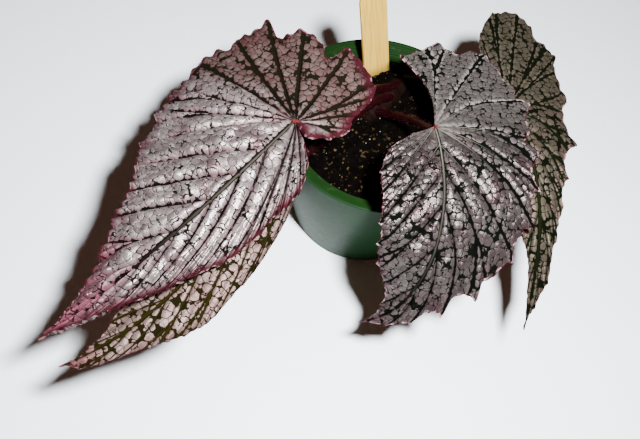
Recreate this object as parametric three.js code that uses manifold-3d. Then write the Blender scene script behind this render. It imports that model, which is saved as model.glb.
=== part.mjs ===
// A potted rex begonia: four large leaves on their stalks, a creeping rhizome half sunk in potting
// soil, a tapered green plastic pot and a bare wooden plant label.
// Millimetres, +Z up. The origin is the centre of the pot's underside, and -Y is the front.
import * as THREE from "three";
import { mergeVertices } from "three/addons/utils/BufferGeometryUtils.js";
import Module from "manifold-3d";

// ---- Driving dimensions ----
const POT_HEIGHT = 84;
const RIM_RADIUS = 57; // a 4.5 inch pot
const BASE_RADIUS = 41;
const POT_WALL = 2;
const POT_FLOOR = 3.6;
const POT_SIDES = 72;
const LEDGES = 3; // the rim steps down and inwards in three small ledges
const LEDGE_DROP = 1.5;
const LEDGE_WIDTH = 2.1;
const LIP_TOP_WIDTH = 2.5;
const LIP_DEPTH = 3; // how far the innermost ledge reaches down
const LIP_FLARE = 4; // height over which it widens to the wall below
const EDGE = 0.8; // the pot's small edges are eased by this much
const FLOOR_BEVEL = 3;
const DRAIN_HOLES = 6;
const DRAIN_RADIUS = 4.5;
const DRAIN_RING_RADIUS = 32.5;
const FOOT_GROOVE = [28.5, 36.5]; // inner and outer radius of the shallow groove round the centre pad
const FOOT_GROOVE_DEPTH = 1.2;

const SOIL_LEVEL = 75;
const SOIL_HEAPS = 1.1;
const SOIL_EDGE_FALL = 0.8; // how much lower the soil lies at the wall
const SOIL_SIDES = 48;
const SOIL_RINGS = 8;
const SEAT_GAP = 0.3; // between pieces that rest against each other

const LABEL_WIDTH = 16; // a plain 5/8 inch by 4 inch label
const LABEL_LENGTH = 102;
const LABEL_THICKNESS = 1.8;
const LABEL_AT_SOIL = new THREE.Vector3(-8, 39, 72);
const LABEL_DIRECTION = new THREE.Vector3(-14, 11, 53).normalize();
const LABEL_BURIED = 46;
const LABEL_TURN = THREE.MathUtils.degToRad(39);

const STALK_BASE_RADIUS = 2.4;
const STALK_TOP_RADIUS = 1.9;
const STALK_SIDES = 8;
const STALK_STEPS = 14;
const RHIZOME_SIDES = 10;
const RHIZOME_STEPS = 12;

const BLADE_THICKNESS = 0.8;
const RIB_DEPTH = 0.7; // how far a rib stands below the underside
const MIDRIB_DEPTH = 1.3;
const COLUMNS_PER_RIB = 4;
const BLADE_ROWS = 6;
const TOOTH_STEPS = [1, -0.5, 0.4, -0.5]; // a tooth at each rib and a smaller one between ribs
const TOOTH_FADE = 14; // teeth shrink where a column is shorter than this
const TIP_POINT = 1.5; // how far the very tip stands out
const BLADE_BACK = 90; // how far behind the stalk a blade's spine is worked out
const NET_RELIEF = 0.35; // how much the pillows between ribs rise and fall along their length
const MARGIN_WAVE = 0.7;

// ---- Colours ----
const POT_GREEN = 0x1d5a2c;
const SOIL_BROWN = 0x241a12;
const RHIZOME_BROWN = 0x5a2b22;
const STALK_RED = 0x6e1118;
const LABEL_TAN = 0xd9b878;
const SILVER_LEAF = 0x9c8790;
const OLIVE_LEAF = 0x8c8578;

// ---- Leaves ----
// A blade is drawn flat, with the stalk at (0, 0), the midrib along +x and the left side at +y.
// Each rib is [root on the midrib, x, y of its end on the margin], from the notch at the stalk
// round to the tip. The flat blade is then bent: at each station along the midrib it has a
// heading, a pitch and a roll, and each side leaves the midrib at a fold and curls down with
// distance, in degrees and degrees per 100 mm. edge holds the lobes and notches, as [place along
// the ribs, how far the margin stands out there], and bow holds how far each rib swings towards
// the notch halfway out. A start point is where stalk and blade meet.
const LEAVES = {
  leaf_a: {
    colour: SILVER_LEAF,
    start: [-42, -39, 116],
    length: 149,
    stations: [-60, 0, 50, 100, 150],
    heading: [-110, -110, -120, -130, -136],
    pitch: [0, 16, -9, -23, -19],
    roll: [0, 0, 0, 0, 0],
    left: {
      fold: [0, 0, 6, 4, 0],
      curl: [12, 22, 40, 40, 30],
      edge: [
        [0, 0], [0.4, 1.8], [0.8, 0.5], [1.3, -3.4], [1.75, -5], [2, -7], [2.3, -10], [2.5, -6],
        [3, -4.8], [3.3, -1], [4, -0.5], [10, 0],
      ],
    },
    right: {
      fold: [0, 6, 11, 6, 0],
      curl: [20, 36, 42, 36, 30],
      edge: [
        [0, 0], [0.4, 2.5], [0.9, 3], [1.5, 0], [1.8, -1.5], [2.1, 0], [3, 1], [3.5, 2.5],
        [3.8, 2], [4.05, 0.5], [4.2, -7], [4.4, -11.5], [4.52, -3], [4.8, 0], [5.1, 0.7],
        [5.3, -3], [5.55, -6.5], [5.82, -11], [5.95, 3], [6.3, -0.5], [7, -1.5], [7.26, -5],
        [7.45, 0.5], [8, 0.5], [9, -1.5], [10, 0], [10.35, -2], [11, 0.5], [12, -2.5],
        [12.6, -2.3], [13.2, -1], [14, 0.5], [17, -0.5], [18, 0],
      ],
    },
    pillow: 0.12,
    tooth: 0.7,
    leftRibs: [
      [0, 13, 15], [0, 31, 25], [0, 50, 28], [0, 67, 26], [24, 84, 20], [41, 98, 16],
      [58, 109, 12], [78, 121, 8], [98, 133, 5], [118, 142, 2.5],
    ],
    rightRibs: [
      [0, 6, 10], [0, -11, 20], [0, -28, 20], [0, -46, 18], [0, -60, -5], [0, -59, -31],
      [0, -55, -50], [0, -40, -61], [0, -20, -69], [0, 6, -70], [0, 31, -67], [0, 56, -60],
      [24, 72, -48], [41, 84, -36], [58, 96, -28], [78, 110, -17], [98, 125, -8], [118, 139, -3],
    ],
  },
  leaf_b: {
    colour: OLIVE_LEAF,
    start: [-36, -42, 98],
    length: 148,
    stations: [-60, 0, 50, 100, 150],
    heading: [-103, -103, -117, -123, -145],
    pitch: [0, 14, -6, -14, -7],
    roll: [0, 0, 0, 0, 0],
    left: {
      fold: [0, 0, 4, 4, 0],
      curl: [12, 25, 30, 30, 20],
      edge: [
        [0, 0], [1.2, 0], [1.8, 1.8], [3, 1.8], [3.8, -1.5], [4.4, -3.4], [4.7, -1.6], [5.3, 2],
        [5.9, 0.9], [7.5, -1.4], [8.2, 0.3], [9.1, 3], [10, 0],
      ],
    },
    right: {
      fold: [0, 0, 4, 4, 0],
      curl: [15, 25, 30, 30, 20],
      edge: [
        [0, 0], [9.5, 0], [11, -3], [12, 0],
      ],
    },
    pillow: 0.08,
    tooth: 0.9,
    leftRibs: [
      [0, 8, 6], [0, 20, 8], [0, 36, 13], [0, 55, 17], [24, 73, 20], [41, 88, 20],
      [58, 102, 17], [78, 116, 12], [98, 129, 8], [118, 140, 4],
    ],
    rightRibs: [
      [0, -33, -4], [0, -37, -20], [0, -28, -38], [0, -10, -48], [0, 14, -53], [0, 40, -50],
      [24, 62, -43], [41, 78, -34], [58, 93, -26], [78, 108, -16], [98, 124, -8], [118, 138, -3],
    ],
  },
  leaf_c: {
    colour: SILVER_LEAF,
    start: [23, -19.5, 112],
    length: 122,
    stations: [-60, 0, 30, 60, 90, 120],
    heading: [-73, -73, -76, -88, -125, -175],
    pitch: [2, 15, -13, -46, -59, -43],
    roll: [0, 0, 0, -10, -22, -15],
    left: {
      fold: [0, 0, 0, 0, 0, 0],
      curl: [10, 13, 28, 30, 30, 20],
      bow: [-7, 0, 1, 7, 5, 2, 1, -2, 0],
      edge: [
        [0, 0], [0.6, -0.5], [1.1, 1], [1.3, -2], [1.47, -5.5], [1.75, -0.6], [2, 0.6], [2.3, 0],
        [2.5, -2.8], [2.67, -1.5], [2.9, -6], [3.1, 0], [3.32, -5.4], [3.58, -3.5], [3.84, -7],
        [4.1, -0.5], [4.5, -5.5], [4.85, -5], [5, -1.5], [5.25, -5.5], [5.5, -5.7], [5.9, -2],
        [5.97, 1.5], [6.3, -3.5], [6.87, -3.5], [7.05, 0.8], [7.3, -1.8], [7.5, -0.8], [7.9, -3.2],
        [8.05, 1.8], [8.35, -3.2], [8.76, -6], [9, 0.5], [9.4, -3], [9.73, -4], [10, -0.5],
        [11, -1], [12, 0],
      ],
    },
    right: {
      fold: [0, 0, 0, 0, 0, 0],
      curl: [12, 25, 30, 30, 30, 20],
      edge: [
        [0, 0], [1.4, 0], [2.1, -1.5], [2.5, -2], [3.1, -4.3], [4, -1.5], [4.6, -2], [5.4, 2.2],
        [6.4, 3.5], [7.6, 1.8], [9, 0],
      ],
    },
    pillow: 0.09,
    tooth: 0.9,
    leftRibs: [
      [0, -52, -8], [0, -60, 13], [0, -54, 38], [0, -22, 55], [0, 14, 51], [0, 33, 50],
      [0, 47, 47], [12, 62, 40], [26, 77, 28], [42, 90, 18], [62, 101, 10], [84, 111, 5],
    ],
    rightRibs: [
      [0, 5, -12], [0, 14, -24], [0, 27, -30], [0, 42, -31], [12, 56, -29], [26, 69, -26],
      [42, 81, -20], [62, 93, -12], [84, 106, -5],
    ],
  },
  leaf_d: {
    colour: OLIVE_LEAF,
    start: [61, 15.5, 99],
    length: 118,
    stations: [-60, 0, 40, 80, 120],
    heading: [-59, -59, -70, -81, -84],
    pitch: [0, 8, -13, -32, -47],
    roll: [0, 0, 0, 0, 0],
    left: {
      fold: [0, 0, 5, 5, 0],
      curl: [12, 25, 35, 35, 20],
      edge: [
        [0, 0], [1.2, -0.5], [2.3, 1], [2.6, 2.5], [3.1, 2], [3.5, 5], [3.62, 0.5], [3.9, -0.3],
        [4.2, 2.7], [4.85, 4], [5, -3], [5.3, -1], [5.9, 1.8], [6.1, -1.8], [6.5, -2.2],
        [6.85, -0.5], [6.95, 2.4], [7.3, -2], [7.7, -3.4], [8, -0.5], [8.6, -2.4], [9.2, -0.4],
        [10.2, -0.4], [10.6, 3.5], [11.2, 5], [12, 2], [13, 0],
      ],
    },
    right: {
      fold: [0, 0, 5, 5, 0],
      curl: [12, 30, 35, 35, 20],
      edge: [
        [0, 0], [4.8, -2], [5.4, -3.1], [6.5, -5.7], [6.9, -4.7], [7.5, -2.7], [8, 0],
      ],
    },
    pillow: 0.08,
    tooth: 0.8,
    leftRibs: [
      [0, -40, 4], [0, -53, 10], [0, -65, 24], [0, -60, 38], [0, -38, 43], [0, -24, 44],
      [0, 4, 33], [0, 26, 26], [10, 44, 18], [24, 59, 13], [40, 74, 9], [60, 90, 6],
      [84, 106, 2.5],
    ],
    rightRibs: [
      [0, 3, -9], [0, 12, -23], [0, 26, -30], [10, 42, -28], [24, 57, -20], [40, 71, -12],
      [60, 87, -6], [84, 105, -3],
    ],
  },
};

// The rhizome creeps along the soil, and each stalk rises from it through these points to its leaf.
const RHIZOME_PATH = [[9, 42, 71], [5, 34, 73], [0.5, 24, 73.5], [-5, 14, 74], [-9.5, 5, 73]];
const RHIZOME_RADII = [3.5, 5.6, 6, 5.8, 4];
const STALKS = {
  stalk_a: {
    leaf: "leaf_a",
    path: [[6, 36, 74.5], [3.5, 31.5, 77], [-0.7, 25.5, 80], [-7.3, 18.5, 85], [-27, -12, 102]],
  },
  stalk_b: {
    leaf: "leaf_b",
    path: [[1.5, 23, 75], [0.5, 19, 80], [-5.2, 10.5, 86], [-13.5, -3.5, 90], [-27, -26, 90.5]],
  },
  stalk_c: { leaf: "leaf_c", path: [[-7, 12, 75], [0.5, 8, 79.5], [8, 2, 87], [15, -6, 96]] },
  stalk_d: { leaf: "leaf_d", path: [[8, 41, 74], [17, 37, 81], [33, 29, 88], [50, 20, 93]] },
};

// ---- Solids ----
const wasm = await Module();
wasm.setup();

function toSolid(geometry) {
  const bare = geometry.clone();
  bare.deleteAttribute("normal");
  bare.deleteAttribute("uv");
  const merged = mergeVertices(bare, 1e-3);
  return new wasm.Manifold(
    new wasm.Mesh({
      numProp: 3,
      vertProperties: merged.attributes.position.array,
      triVerts: new Uint32Array(merged.index.array),
    }),
  );
}

function fromSolid(solid) {
  const mesh = solid.getMesh();
  const geometry = new THREE.BufferGeometry();
  geometry.setAttribute("position", new THREE.BufferAttribute(mesh.vertProperties, 3));
  geometry.setIndex(new THREE.BufferAttribute(mesh.triVerts, 1));
  return geometry;
}

function subtract(geometry, cutters) {
  let solid = toSolid(geometry);
  for (const cutter of cutters) solid = solid.subtract(toSolid(cutter));
  return fromSolid(solid);
}

function closedGeometry(positions, triangles) {
  const geometry = new THREE.BufferGeometry();
  geometry.setAttribute("position", new THREE.Float32BufferAttribute(positions, 3));
  geometry.setIndex(triangles);
  return geometry;
}

const point = (coordinates) => new THREE.Vector3(...coordinates);
const smooth = (points) => new THREE.CatmullRomCurve3(points, false, "centripetal");

// ---- Pot ----
function outerRadius(z) {
  return BASE_RADIUS + ((RIM_RADIUS - BASE_RADIUS) * z) / POT_HEIGHT;
}

const LEDGE_INNER_RADIUS = RIM_RADIUS - LIP_TOP_WIDTH - LEDGES * LEDGE_WIDTH;
const LEDGE_BASE = POT_HEIGHT - LEDGES * LEDGE_DROP;
const LIP_UNDERSIDE = LEDGE_BASE - LIP_DEPTH;
const WALL_TOP = LIP_UNDERSIDE - LIP_FLARE;

function innerWallRadius(z) {
  return outerRadius(z) - POT_WALL;
}

function potProfile() {
  const [grooveInner, grooveOuter] = FOOT_GROOVE;
  const profile = [
    [0, 0],
    [grooveInner - EDGE, 0],
    [grooveInner, FOOT_GROOVE_DEPTH],
    [grooveOuter, FOOT_GROOVE_DEPTH],
    [grooveOuter + EDGE, 0],
    [BASE_RADIUS - 2 * EDGE, 0],
    [BASE_RADIUS - 0.5 * EDGE, 0.6 * EDGE],
    [outerRadius(2 * EDGE), 2 * EDGE],
    [outerRadius(POT_HEIGHT - EDGE), POT_HEIGHT - EDGE],
    [RIM_RADIUS - 0.4 * EDGE, POT_HEIGHT - 0.2 * EDGE],
    [RIM_RADIUS - EDGE, POT_HEIGHT],
  ];
  for (let ledge = 0; ledge < LEDGES; ledge++) {
    const radius = RIM_RADIUS - LIP_TOP_WIDTH - ledge * LEDGE_WIDTH;
    const top = POT_HEIGHT - ledge * LEDGE_DROP;
    profile.push([radius, top], [radius - 0.4 * EDGE, top - LEDGE_DROP]);
  }
  profile.push(
    [LEDGE_INNER_RADIUS, LEDGE_BASE],
    [LEDGE_INNER_RADIUS, LIP_UNDERSIDE],
    [innerWallRadius(WALL_TOP), WALL_TOP],
    [innerWallRadius(POT_FLOOR + FLOOR_BEVEL), POT_FLOOR + FLOOR_BEVEL],
    [innerWallRadius(POT_FLOOR) - FLOOR_BEVEL, POT_FLOOR],
    [0, POT_FLOOR],
  );
  return profile.map(([radius, z]) => new THREE.Vector2(radius, z));
}

function turned(profile, sides) {
  return new THREE.LatheGeometry(profile, sides).rotateX(Math.PI / 2);
}

function drainCutters() {
  const cutters = [];
  for (let hole = 0; hole < DRAIN_HOLES; hole++) {
    const angle = ((hole + 0.5) / DRAIN_HOLES) * 2 * Math.PI;
    const depth = 4 * POT_FLOOR;
    const cutter = new THREE.CylinderGeometry(DRAIN_RADIUS, DRAIN_RADIUS, depth, 20);
    cutter.rotateX(Math.PI / 2);
    cutter.translate(
      DRAIN_RING_RADIUS * Math.cos(angle), DRAIN_RING_RADIUS * Math.sin(angle), 0,
    );
    cutters.push(cutter);
  }
  return cutters;
}

// ---- Soil ----
// Low heaps and hollows of crumbly mix, flattened towards the wall.
function soilHeight(x, y) {
  const heaps =
    Math.sin(0.21 * x + 0.7) * Math.cos(0.18 * y - 0.4) +
    0.6 * Math.sin(0.47 * x - 0.33 * y + 1.1) +
    0.45 * Math.cos(0.39 * x + 0.61 * y);
  const radius = Math.hypot(x, y);
  const edge = THREE.MathUtils.smoothstep(radius, 0.75 * LEDGE_INNER_RADIUS, LEDGE_INNER_RADIUS);
  return SOIL_LEVEL + SOIL_HEAPS * heaps * (1 - 0.6 * edge) - SOIL_EDGE_FALL * edge;
}

function soilGeometry() {
  const sides = SOIL_SIDES;
  const floor = POT_FLOOR + SEAT_GAP;
  const bevelTop = POT_FLOOR + FLOOR_BEVEL;
  const below = [
    [innerWallRadius(WALL_TOP) - SEAT_GAP, WALL_TOP - SEAT_GAP],
    [innerWallRadius(bevelTop) - SEAT_GAP, bevelTop + SEAT_GAP],
    [innerWallRadius(POT_FLOOR) - FLOOR_BEVEL - SEAT_GAP, floor],
  ];
  const circle = (radius, heightAt) => {
    const ring = [];
    for (let side = 0; side < sides; side++) {
      const angle = (side / sides) * 2 * Math.PI;
      const x = radius * Math.cos(angle);
      const y = radius * Math.sin(angle);
      ring.push([x, y, heightAt(x, y)]);
    }
    return ring;
  };
  const loops = [];
  for (let ring = 1; ring <= SOIL_RINGS; ring++) {
    loops.push(circle((LEDGE_INNER_RADIUS * ring) / SOIL_RINGS, soilHeight));
  }
  for (const [radius, z] of below) loops.push(circle(radius, () => z));
  const positions = [[0, 0, soilHeight(0, 0)], ...loops.flat(), [0, 0, floor]].flat();
  const triangles = [];
  const first = (loop) => 1 + loop * sides;
  for (let side = 0; side < sides; side++) {
    const next = (side + 1) % sides;
    triangles.push(0, first(0) + side, first(0) + next);
    for (let loop = 0; loop + 1 < loops.length; loop++) {
      const a = first(loop) + side;
      const b = first(loop) + next;
      const c = first(loop + 1) + side;
      const d = first(loop + 1) + next;
      triangles.push(a, c, b, b, c, d);
    }
    const last = first(loops.length - 1);
    triangles.push(first(loops.length), last + next, last + side);
  }
  return closedGeometry(positions, triangles);
}

// ---- Stalks and rhizome ----
// A round rod along a curve. Its radius changes along it, grow thickens it and lengthens both of
// its ends, and its last ring lies square to endNormal where one is given, so that a stalk meets
// its blade flat.
function rodGeometry(curve, radiusAt, { steps, sides, grow, endNormal }) {
  const frames = curve.computeFrenetFrames(steps, false);
  const positions = [];
  const centres = [];
  for (let step = 0; step <= steps; step++) {
    const centre = curve.getPointAt(step / steps);
    if (step === 0) centre.addScaledVector(frames.tangents[step], -grow);
    if (step === steps) centre.addScaledVector(frames.tangents[step], grow);
    centres.push(centre);
    const across = frames.normals[step].clone();
    const other = frames.binormals[step].clone();
    if (step === steps && endNormal) {
      across.addScaledVector(endNormal, -across.dot(endNormal)).normalize();
      other.copy(endNormal).cross(across).normalize();
      if (other.dot(frames.binormals[step]) < 0) other.negate();
    }
    for (let side = 0; side < sides; side++) {
      const angle = (side / sides) * 2 * Math.PI;
      const radius = radiusAt(step / steps) + grow;
      positions.push(
        ...centre
          .clone()
          .addScaledVector(across, radius * Math.cos(angle))
          .addScaledVector(other, radius * Math.sin(angle)),
      );
    }
  }
  const start = positions.length / 3;
  positions.push(...centres[0], ...centres[steps]);
  const triangles = [];
  for (let side = 0; side < sides; side++) {
    const next = (side + 1) % sides;
    for (let step = 0; step < steps; step++) {
      const a = step * sides + side;
      const b = step * sides + next;
      triangles.push(a, b, b + sides, a, b + sides, a + sides);
    }
    triangles.push(start, next, side);
    triangles.push(start + 1, steps * sides + side, steps * sides + next);
  }
  return closedGeometry(positions, triangles);
}

function interpolate(stations, values, x) {
  if (x <= stations[0]) return values[0];
  for (let i = 1; i < stations.length; i++) {
    if (x <= stations[i]) {
      const share = (x - stations[i - 1]) / (stations[i] - stations[i - 1]);
      return values[i - 1] + share * (values[i] - values[i - 1]);
    }
  }
  return values[values.length - 1];
}

// ---- Leaf blades ----
// Returns a function that takes a point of the flat blade, and a height above it, to its place.
function bentBlade(leaf) {
  const { stations, start, length } = leaf;
  const back = BLADE_BACK;
  const angleAt = (values, x) => THREE.MathUtils.degToRad(interpolate(stations, values, x));
  const forwardAt = (x) => {
    const heading = angleAt(leaf.heading, x);
    const pitch = angleAt(leaf.pitch, x);
    return new THREE.Vector3(
      Math.cos(pitch) * Math.cos(heading), Math.cos(pitch) * Math.sin(heading), Math.sin(pitch),
    );
  };
  const spine = [];
  spine[back] = point(start);
  for (let x = 1; x <= length + 10; x++) {
    const step = forwardAt(x - 0.5);
    spine[back + x] = spine[back + x - 1].clone().add(step);
  }
  for (let x = -1; x >= -back; x--) {
    const step = forwardAt(x + 0.5);
    spine[back + x] = spine[back + x + 1].clone().sub(step);
  }
  const spineAt = (x) => {
    const whole = Math.min(Math.max(Math.floor(x), -back), length + 9);
    return spine[back + whole].clone().lerp(spine[back + whole + 1], x - whole);
  };
  return (x, y, height = 0) => {
    const heading = angleAt(leaf.heading, x);
    const roll = angleAt(leaf.roll, x);
    const forward = forwardAt(x);
    const level = new THREE.Vector3(-Math.sin(heading), Math.cos(heading), 0);
    const upright = forward.clone().cross(level);
    const across = level.multiplyScalar(Math.cos(roll)).addScaledVector(upright, Math.sin(roll));
    const normal = forward.clone().cross(across);
    const wing = y >= 0 ? leaf.left : leaf.right;
    const fold = angleAt(wing.fold, x);
    const curl = Math.max(angleAt(wing.curl, x) / 100, 1e-6);
    const slope = fold + curl * Math.abs(y);
    const out = Math.sign(y) * ((Math.sin(slope) - Math.sin(fold)) / curl);
    const drop = (Math.cos(fold) - Math.cos(slope)) / curl;
    const facing = normal.clone().multiplyScalar(Math.cos(slope));
    facing.addScaledVector(across, Math.sign(y) * Math.sin(slope));
    return spineAt(x)
      .addScaledVector(across, out)
      .addScaledVector(normal, -drop)
      .addScaledVector(facing, height);
  };
}

// One side of the flat blade as columns that run from the midrib to the margin. Every fourth
// column is a rib, and the columns between ribs carry a raised pillow and smaller teeth.
function bladeColumns(leaf, ribs, wing, isLeft) {
  const count = (values) => values.map((value, index) => index);
  const bows = wing.bow ?? [0, 0];
  const ends = ribs.map(([, x, y]) => new THREE.Vector2(x, y));
  ends.push(new THREE.Vector2(leaf.length, 0));
  const roots = ribs.map(([root]) => root).concat(leaf.length);
  const margin = new THREE.SplineCurve(ends);
  const columns = [];
  for (let rib = 0; rib < ribs.length; rib++) {
    for (let step = 0; step < COLUMNS_PER_RIB; step++) {
      const share = step / COLUMNS_PER_RIB;
      const place = rib + share;
      const end = margin.getPoint(place / ribs.length);
      const root = new THREE.Vector2(
        THREE.MathUtils.lerp(roots[rib], roots[rib + 1], share), 0,
      );
      const reach = end.clone().sub(root);
      const fade = Math.min(1, reach.length() / TOOTH_FADE);
      const tooth = place === 0 ? 0 : leaf.tooth * TOOTH_STEPS[step] * fade;
      const edge = interpolate(wing.edge.map(([at]) => at), wing.edge.map(([, out]) => out), place);
      const way = reach.normalize();
      end.addScaledVector(way, tooth + edge);
      const bow = new THREE.Vector2(-way.y, way.x).multiplyScalar(isLeft ? 1 : -1);
      bow.multiplyScalar(interpolate(count(bows), bows, place));
      const spread = ends[rib].distanceTo(ends[rib + 1]);
      columns.push({ root, end, share, spread, bow });
    }
  }
  return columns;
}

function bladeGeometry(leaf) {
  const place = bentBlade(leaf);
  const positions = [];
  const addPoint = (flat, height) => {
    positions.push(...place(flat.x, flat.y, height));
    return positions.length / 3 - 1;
  };
  const pair = (flat, height, thickness) => ({
    top: addPoint(flat, height + BLADE_THICKNESS / 2),
    bottom: addPoint(flat, height - thickness + BLADE_THICKNESS / 2),
  });
  const midrib = new Map();
  const midribPair = (root) => {
    const key = root.x.toFixed(3);
    if (!midrib.has(key)) {
      const depth = BLADE_THICKNESS + MIDRIB_DEPTH * (1 - root.x / leaf.length);
      midrib.set(key, pair(root, 0, depth));
    }
    return midrib.get(key);
  };
  const tip = pair(new THREE.Vector2(leaf.length + TIP_POINT, 0), 0, BLADE_THICKNESS);
  const triangles = [];
  const addTriangle = (a, b, c) => {
    if (a !== b && b !== c && c !== a) triangles.push(a, b, c);
  };
  const addQuad = (a, b, c, d, flipped) => {
    if (flipped) {
      addTriangle(c, b, a);
      addTriangle(d, c, a);
    } else {
      addTriangle(a, b, c);
      addTriangle(a, c, d);
    }
  };
  const wings = [[leaf.leftRibs, leaf.left, true], [leaf.rightRibs, leaf.right, false]];
  for (const [ribs, wing, isLeft] of wings) {
    const columns = bladeColumns(leaf, ribs, wing, isLeft);
    const grid = columns.map(({ root, end, share, spread, bow }) => {
      const column = [midribPair(root)];
      for (let row = 1; row <= BLADE_ROWS; row++) {
        const t = row / BLADE_ROWS;
        const flat = root.clone().lerp(end, t).addScaledVector(bow, Math.sin(Math.PI * t));
        const net = 1 + NET_RELIEF * (row % 2 ? 1 : -1);
        const swell = Math.sin(Math.PI * share) * spread * t * leaf.pillow * net;
        const wave = MARGIN_WAVE * t ** 3 * Math.cos(2 * Math.PI * share);
        const height = swell * (1 - 0.75 * t ** 4) + wave;
        const rib = share === 0 ? RIB_DEPTH * (1 - t ** 2) : 0;
        column.push(pair(flat, height, BLADE_THICKNESS + rib));
      }
      return column;
    });
    grid.push(Array(BLADE_ROWS + 1).fill(tip));
    for (let c = 0; c + 1 < grid.length; c++) {
      for (let r = 0; r < BLADE_ROWS; r++) {
        const corners = [grid[c][r], grid[c][r + 1], grid[c + 1][r + 1], grid[c + 1][r]];
        addQuad(...corners.map((corner) => corner.top), isLeft);
        addQuad(...corners.map((corner) => corner.bottom), !isLeft);
      }
      const [a, b] = [grid[c][BLADE_ROWS], grid[c + 1][BLADE_ROWS]];
      addQuad(a.top, a.bottom, b.bottom, b.top, isLeft);
    }
    for (let r = 0; r < BLADE_ROWS; r++) {
      const [a, b] = [grid[0][r], grid[0][r + 1]];
      addQuad(a.top, a.bottom, b.bottom, b.top, isLeft);
    }
  }
  return closedGeometry(positions, triangles);
}

// ---- Label ----
function labelGeometry(grow = 0) {
  const half = LABEL_WIDTH / 2 + grow;
  const bottom = -LABEL_BURIED - grow;
  const top = LABEL_LENGTH - LABEL_BURIED;
  const shape = new THREE.Shape();
  shape.moveTo(-half, bottom + half);
  shape.absarc(0, bottom + half, half, Math.PI, 2 * Math.PI, false);
  shape.lineTo(half, top - half);
  shape.absarc(0, top - half, half, 0, Math.PI, false);
  const thickness = LABEL_THICKNESS + 2 * grow;
  const geometry = new THREE.ExtrudeGeometry(shape, {
    depth: thickness, bevelEnabled: false, curveSegments: 10,
  });
  geometry.translate(0, 0, -thickness / 2);
  const across = new THREE.Vector3(Math.cos(LABEL_TURN), Math.sin(LABEL_TURN), 0);
  across.addScaledVector(LABEL_DIRECTION, -across.dot(LABEL_DIRECTION)).normalize();
  const facing = across.clone().cross(LABEL_DIRECTION);
  const placing = new THREE.Matrix4().makeBasis(across, LABEL_DIRECTION, facing);
  return geometry.applyMatrix4(placing.setPosition(LABEL_AT_SOIL));
}

function rhizomeGeometry(grow = 0) {
  const curve = smooth(RHIZOME_PATH.map(point));
  const shares = RHIZOME_RADII.map((radius, index) => index / (RHIZOME_RADII.length - 1));
  const radiusAt = (share) => interpolate(shares, RHIZOME_RADII, share);
  return rodGeometry(curve, radiusAt, { steps: RHIZOME_STEPS, sides: RHIZOME_SIDES, grow });
}

function stalkGeometry({ leaf, path }, grow = 0) {
  const place = bentBlade(LEAVES[leaf]);
  const facing = place(0, 0, 1).sub(place(0, 0, 0));
  const underside = -BLADE_THICKNESS / 2 - MIDRIB_DEPTH - SEAT_GAP;
  const end = place(0, 0, underside);
  const curve = smooth([...path.map(point), end]);
  const radiusAt = (share) =>
    THREE.MathUtils.lerp(STALK_BASE_RADIUS, STALK_TOP_RADIUS, Math.min(1, 1.5 * share));
  const options = { steps: STALK_STEPS, sides: STALK_SIDES, grow, endNormal: facing };
  return rodGeometry(curve, radiusAt, options);
}

// ---- The plant ----
const plant = new THREE.Group();

function addPiece(name, geometry, color, roughness) {
  const material = new THREE.MeshStandardMaterial({ color, roughness, metalness: 0 });
  const mesh = new THREE.Mesh(geometry, material);
  mesh.name = name;
  plant.add(mesh);
}

const stalkSockets = Object.values(STALKS).map((stalk) => stalkGeometry(stalk, SEAT_GAP));
addPiece("pot", subtract(turned(potProfile(), POT_SIDES), drainCutters()), POT_GREEN, 0.35);
addPiece(
  "soil",
  subtract(soilGeometry(), [rhizomeGeometry(SEAT_GAP), labelGeometry(SEAT_GAP), ...stalkSockets]),
  SOIL_BROWN, 0.95,
);
addPiece("rhizome", subtract(rhizomeGeometry(), stalkSockets), RHIZOME_BROWN, 0.8);
for (const [name, stalk] of Object.entries(STALKS)) {
  addPiece(name, stalkGeometry(stalk), STALK_RED, 0.5);
}
for (const [name, leaf] of Object.entries(LEAVES)) {
  addPiece(name, bladeGeometry(leaf), leaf.colour, 0.45);
}
addPiece("wooden_label", labelGeometry(), LABEL_TAN, 0.7);

export default plant;
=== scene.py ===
import math
import random

import bmesh
import bpy
import numpy as np
from mathutils import Matrix, Vector, noise
from mathutils.bvhtree import BVHTree


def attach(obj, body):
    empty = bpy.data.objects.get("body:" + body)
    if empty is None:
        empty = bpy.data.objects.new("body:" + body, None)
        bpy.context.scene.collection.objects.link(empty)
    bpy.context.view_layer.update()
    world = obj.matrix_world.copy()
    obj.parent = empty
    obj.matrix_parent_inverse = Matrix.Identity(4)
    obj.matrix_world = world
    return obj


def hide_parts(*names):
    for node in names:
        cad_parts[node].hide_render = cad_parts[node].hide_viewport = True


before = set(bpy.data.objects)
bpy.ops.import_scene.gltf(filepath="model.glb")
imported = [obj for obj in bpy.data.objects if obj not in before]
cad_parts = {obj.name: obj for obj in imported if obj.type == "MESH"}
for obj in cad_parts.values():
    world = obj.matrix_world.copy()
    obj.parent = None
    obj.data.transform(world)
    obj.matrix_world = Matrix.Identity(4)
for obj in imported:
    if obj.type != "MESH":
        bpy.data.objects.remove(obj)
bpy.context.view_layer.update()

# A potted rex begonia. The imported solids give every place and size, and the pieces here stand
# in for the leaves, stalks, rhizome, pot and label with finer ones of the same form.
# Sizes are in millimetres and angles in degrees, and mm turns them into Blender's metres.
mm = 0.001


def colour(red, green, blue):
    # screen values from 0 to 255 as the linear colour that a shader takes
    linear = []
    for value in (red, green, blue):
        share = value / 255
        linear.append(share / 12.92 if share <= 0.04045 else ((share + 0.055) / 1.055) ** 2.4)
    return (*linear, 1.0)


# ---------- material kit

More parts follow.
